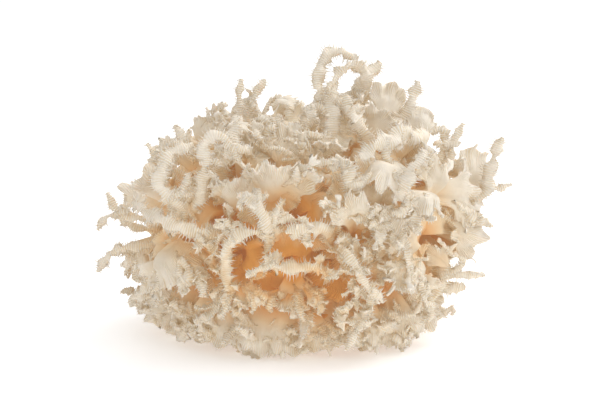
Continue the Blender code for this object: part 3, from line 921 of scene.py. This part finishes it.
def small_fronds(found, draw):
    """Small bands and fans, one at each perch where it stays inside the outline, joined by the batch."""
    made, batches = [], []
    for place, out, ahead, long in found:
        if len(made) > BATCH:
            batches.append(joined(made))
            made = []
        out, ahead = unit(out), unit(ahead)
        grow = unit(ahead + out * draw.uniform(*STANDING))
        if not within(place + grow * long):
            grow = unit(grow - 1.2 * unit((place - EGG_MIDDLE) / EGG_HALF_SIZE) * max(0, grow @ out))
            grow = unit(grow + np.array([0, 0, 1.2]) * (place[2] < 25))
            long *= 0.7
        if not within(place + grow * long):
            continue
        curl = unit(np.array([draw.gauss(0, 1), draw.gauss(0, 1), draw.gauss(-0.3, 1)]))
        facing = unit(np.cross(grow, np.cross(out, grow)) + 0.5 * FACING_VIEW * (place[1] < 0))
        if draw.random() < SMALL_BAND_SHARE:
            bend = place + (grow + 0.25 * curl) * long * 0.75
            end = bend + (curl * 0.8 + 0.2 * grow) * long * 0.35
            line = Line([place - grow * 2, place, place + grow * long * 0.4, bend, end], facing)
            made += branched(line, draw.uniform(*SMALL_WIDE), long, 1, draw)
        else:
            reach = long * 0.8
            foot, tip = place - grow * 3, place + grow * reach
            spread = draw.uniform(60, 120)
            lobes = [0, draw.uniform(1, 4), 0, draw.uniform(1, 4), 0, draw.uniform(1, 4), 0]
            turn, phase, cup = draw.uniform(3, 6), draw.uniform(0, 6), draw.uniform(-0.3, 0.1) * reach
            form = (foot, place, tip, spread, facing, turn, phase, cup, lobes, SMALL_FRINGE, draw)
            made.append(petal(*form, SMALL_ROWS))
    return batches + made


small_draw = random.Random(12)
found = perches(small_draw)
small_draw.shuffle(found)
for n in range(3):
    grown_together(f"small_fronds_{n}", small_fronds(found[n::3], small_draw))

# The combs. Spines of firm flesh, thin as needles, are the ribs of every band and fan and stand out past
# the margin like the teeth of a comb.
SPINE_RADIUS = 0.34
SPINE_SLIMNESS = 0.2


def planted(name, model, stands, widths):
    """Copies of a model as one piece. A stand is a place, a way up, a spin and a height."""
    mesh = model.data
    corners = places_of(model) * MM
    faces = [list(p.vertices) for p in mesh.polygons]
    place = np.array([s[0] for s in stands])
    up = np.array([s[1] for s in stands])
    up /= np.linalg.norm(up, axis=1)[:, None]
    spin, size = np.array([s[2] for s in stands]), np.array([s[3] for s in stands])
    wide = np.array(widths)
    across = np.cross(up, np.where(np.abs(up[:, 2:]) < 0.9, [[0.0, 0.0, 1.0]], [[1.0, 0.0, 0.0]]))
    across /= np.linalg.norm(across, axis=1)[:, None]
    back = np.cross(up, across)
    x = across * np.cos(spin)[:, None] + back * np.sin(spin)[:, None]
    y = np.cross(up, x)
    turned = np.stack([x * wide[:, None], y * wide[:, None], up * size[:, None]], axis=1)
    points = np.einsum("vk,skj->svj", corners, turned) + place[:, None, :]
    points = lifted(points).reshape(-1, 3) * MM
    loops = np.concatenate([np.array(face) for face in faces])
    sizes = np.array([len(face) for face in faces])
    starts = np.concatenate([[0], np.cumsum(sizes)[:-1]])
    copies = np.arange(len(stands))
    made = bpy.data.meshes.new(name)
    made.vertices.add(len(points))
    made.vertices.foreach_set("co", points.ravel())
    made.loops.add(len(loops) * len(stands))
    made.loops.foreach_set("vertex_index", (loops[None, :] + copies[:, None] * len(corners)).ravel())
    made.polygons.add(len(faces) * len(stands))
    made.polygons.foreach_set("loop_start", (starts[None, :] + copies[:, None] * len(loops)).ravel())
    made.update(calc_edges=True)
    made.validate()
    piece = bpy.data.objects.new(name, made)
    bpy.context.scene.collection.objects.link(piece)
    return piece


bpy.ops.mesh.primitive_cone_add(vertices=3, radius1=1, radius2=0, depth=1, location=(0, 0, 0.5))
spine = bpy.context.object
bpy.ops.object.transform_apply(location=True)
radii = [min(length * SPINE_SLIMNESS, SPINE_RADIUS) for _, _, _, length in spines]
dress(planted("combs", spine, spines, radii))
bpy.data.objects.remove(spine)

# The frondlets. Where the large fronds end, and all over their faces, they divide into small fans,
# curls and knobbly antlers a few millimetres long, which give the whole its look of lace.
MARGIN_STEP = 5.5
FACE_AREA = 600.0
BAND_STEP_OF_FRONDLETS = 22.0
FRONDLET_LONG = (2.5, 6.0)
ANTLER_STEPS = 2
MODELS_OF_EACH = 4
LEAF_THICKNESS = 0.14


def choose_face(piece, towards):
    """Selects the one face that looks most a given way, and of those the highest."""
    bm = bmesh.from_edit_mesh(piece.data)
    best = max(bm.faces, key=lambda f: f.normal.dot(Vector(towards)) + 1.5 * f.calc_center_median().z)
    for face in bm.faces:
        face.select = face == best
    bmesh.update_edit_mesh(piece.data)


def antler(draw):
    """A knobbly antler one unit tall: a stub drawn up step by step, with a prong out of each step's side."""
    bpy.ops.mesh.primitive_cube_add(size=0.26, location=(0, 0, 0.0))
    piece = bpy.context.object
    bpy.ops.object.mode_set(mode="EDIT")
    bpy.ops.mesh.select_mode(type="FACE")
    for _ in range(ANTLER_STEPS):
        choose_face(piece, (0, 0, 1))
        sway = (draw.uniform(-0.14, 0.14), draw.uniform(-0.14, 0.14), 0.42)
        bpy.ops.mesh.extrude_region_move(TRANSFORM_OT_translate={"value": sway})
        bpy.ops.transform.resize(value=(draw.uniform(0.7, 1.1),) * 3)
        turn = draw.uniform(0, 2 * math.pi)
        side = (math.cos(turn), math.sin(turn), 0)
        choose_face(piece, side)
        prong = (side[0] * 0.26, side[1] * 0.26, 0.16)
        bpy.ops.mesh.extrude_region_move(TRANSFORM_OT_translate={"value": prong})
        bpy.ops.transform.resize(value=(0.55, 0.55, 0.55))
    bpy.ops.object.mode_set(mode="OBJECT")
    return piece


def leaf(columns, rows, shape):
    """A thin closed leaf: a grid shaped point by point, thick in the middle and closed along its rim."""
    bpy.ops.mesh.primitive_grid_add(x_subdivisions=columns, y_subdivisions=rows, size=2)
    piece = bpy.context.object
    flat = places_of(piece) * MM
    move_to(piece, shape((flat[:, 0] + 1) / 2, (flat[:, 1] + 1) / 2) / MM)
    group = piece.vertex_groups.new(name="inside")
    inside = np.flatnonzero(np.abs(flat).max(axis=1) < 0.99)
    group.add(inside.tolist(), 1, "REPLACE")
    wall = piece.modifiers.new("thickness", "SOLIDIFY")
    wall.thickness, wall.offset, wall.vertex_group = LEAF_THICKNESS, 0, "inside"
    wall.use_rim = False
    bpy.ops.object.modifier_apply(modifier=wall.name)
    bpy.ops.object.mode_set(mode="EDIT")
    bpy.ops.mesh.select_all(action="SELECT")
    bpy.ops.mesh.remove_doubles(threshold=0.0001)
    bpy.ops.mesh.normals_make_consistent(inside=False)
    bpy.ops.object.mode_set(mode="OBJECT")
    return piece


def fanlet(draw):
    """A little fan one unit tall, with a toothed and frilled margin."""
    columns = 6
    wide, phase, lean = draw.uniform(0.6, 1.0), draw.uniform(0, 6), draw.uniform(-0.4, 0.1)
    limits = [(0.6, 0.75), (0.75, 1.0)]
    teeth = np.array([draw.uniform(*limits[n % 2]) for n in range(columns + 1)])

    def shape(across, far):
        angle = (across - 0.5) * 2 * wide
        column = np.rint(across * columns).astype(int)
        radius = 0.06 + far * (teeth[column] + 0.15)
        bulge = far**2 * (0.14 * np.sin(angle * 5 + phase) + lean)
        return np.stack([np.sin(angle) * radius, bulge, np.cos(angle) * radius], axis=1)

    return leaf(columns, 3, shape)


def curl(draw):
    """A narrow frond one unit tall that curls over at the end, toothed on both edges."""
    columns = 8
    bend_by, over = draw.uniform(1.2, 3.2), draw.uniform(0.2, 0.45)

    def shape(share, across):
        zigzag = np.rint(share * columns) % 2
        bend = share**1.5 * bend_by
        wide = (2 * across - 1) * (0.1 + 0.1 * zigzag) * (1.2 - 0.6 * share)
        return np.stack([wide, over * (1 - np.cos(bend)), share * 0.85 + 0.08 * np.sin(bend)], axis=1)

    return leaf(columns, 2, shape)


def frondlet_stands(draw):
    """Where the frondlets stand, along the margins and on the faces of all fans and bands."""
    stands = []

    def add(place, way, long):
        way = unit(way + np.array([draw.gauss(0, 0.25) for _ in range(3)]))
        if within(place + way * long):
            stands.append((place - way * 0.4, way, draw.uniform(0, 6.3), long))

    for sheet, arc in fan_faces:
        for _ in range(int(arc / MARGIN_STEP)):
            place, facing, ways = sheet(np.array([draw.random()]), np.array([draw.uniform(0.85, 1.0)]))
            way = ways[0] + facing * draw.uniform(-0.8, 0.8)
            add(place[0], way, draw.uniform(*FRONDLET_LONG) * min(1, arc / 25))
        for _ in range(int(arc**2 * 0.4 / FACE_AREA)):
            place, facing, ways = sheet(np.array([draw.random()]), np.array([draw.uniform(0.1, 0.9) ** 0.7]))
            add(place[0], ways[0] * 0.6 + facing * draw.choice((1, 1, -1)), draw.uniform(*FRONDLET_LONG))
    for line, wide in bands:
        for _ in range(int(line.length / BAND_STEP_OF_FRONDLETS * (1 if wide > 1.8 else 0.4))):
            place, ahead, facing, side = line.at(np.array([draw.uniform(0.2, 1)]))
            way = side[0] * draw.uniform(-1, 1) + facing[0] * draw.uniform(-0.3, 0.8) + ahead[0] * 0.6
            add(place[0], way, draw.uniform(2.5, 5.5))
    return stands


knob_draw = random.Random(5)
deselect()
models = [make(knob_draw) for make in (antler, antler, fanlet, curl) for _ in range(MODELS_OF_EACH)]
stands = frondlet_stands(knob_draw)
knob_draw.shuffle(stands)
for part in range(2):
    some = models[part::2]
    shared = [stands[part::2][n::len(some)] for n in range(len(some))]
    parts = [planted("frondlets", m, group, [long for *_, long in group]) for m, group in zip(some, shared)]
    dress(joined(parts))
for model in models:
    bpy.data.objects.remove(model)

# The table it stands on. It is a plain white sheet that runs back out of sight, lit through a little.
FLOOR_SIZE = 8.0
FLOOR_WHITE = (0.9, 0.9, 0.9, 1)
FLOOR_GLOW = 0.34

deselect()
bpy.ops.mesh.primitive_plane_add(size=FLOOR_SIZE, location=(0, 0, 0))
floor = bpy.context.object
floor.name = "floor"
white = bpy.data.materials.new("white_sheet")
white.use_nodes = True
sheet_looks = {
    "Base Color": FLOOR_WHITE,
    "Roughness": 0.9,
    "Specular IOR Level": 0.0,
    "Emission Color": (1, 1, 1, 1),
    "Emission Strength": FLOOR_GLOW,
}
set_inputs(white.node_tree, white.node_tree.nodes["Principled BSDF"], sheet_looks)
floor.data.materials.append(white)

# The light. White light comes from all round, more of it from the right, and two wide soft lamps shine
# down: the stronger one from behind on the right, the weaker one from straight above.
DIM_SIDE = 0.57
BRIGHT_SIDE = 0.95
LAMP_SIZE = 0.8
AIMED_AT = Vector((0, 0, 0.05))

world = bpy.data.worlds.new("studio")
bpy.context.scene.world = world
world.use_nodes = True
tree = world.node_tree
towards = add_node(tree, "ShaderNodeTexCoord", {}).outputs["Generated"]
to_the_right = add_node(tree, "ShaderNodeSeparateXYZ", {"Vector": towards}).outputs["X"]
brightness = mapped(tree, to_the_right, -1.0, 1.0, DIM_SIDE, BRIGHT_SIDE)
set_inputs(tree, tree.nodes["Background"], {"Color": (1, 1, 1, 1), "Strength": brightness})


def soft_light(name, place, power):
    bpy.ops.object.light_add(type="AREA", location=place)
    light = bpy.context.object
    light.name = name
    light.data.shape, light.data.size, light.data.energy = "DISK", LAMP_SIZE, power
    light.rotation_euler = (AIMED_AT - Vector(place)).to_track_quat("-Z", "Y").to_euler()


soft_light("above_behind", (0.55, 0.25, 0.85), 5.0)
soft_light("above", (-0.05, -0.1, 1.0), 1.2)

# The camera. It looks a little down on the front through a long lens, from where the fronds were laid out.
VIEW_LENS = 100
VIEW_SENSOR = 36

look = Vector((0, math.cos(VIEW_UP), -math.sin(VIEW_UP)))
above = Vector((0, math.sin(VIEW_UP), math.cos(VIEW_UP)))
bpy.ops.object.camera_add()
camera = bpy.context.object
camera.data.lens, camera.data.sensor_width = VIEW_LENS, VIEW_SENSOR
camera.location = (Vector((VIEW_MIDDLE[0], 0, 0)) + above * VIEW_MIDDLE[1] - look * VIEW_DISTANCE) * MM
camera.rotation_euler = look.to_track_quat("-Z", "Y").to_euler()
bpy.context.scene.camera = camera
bpy.context.scene.view_settings.view_transform = "Standard"
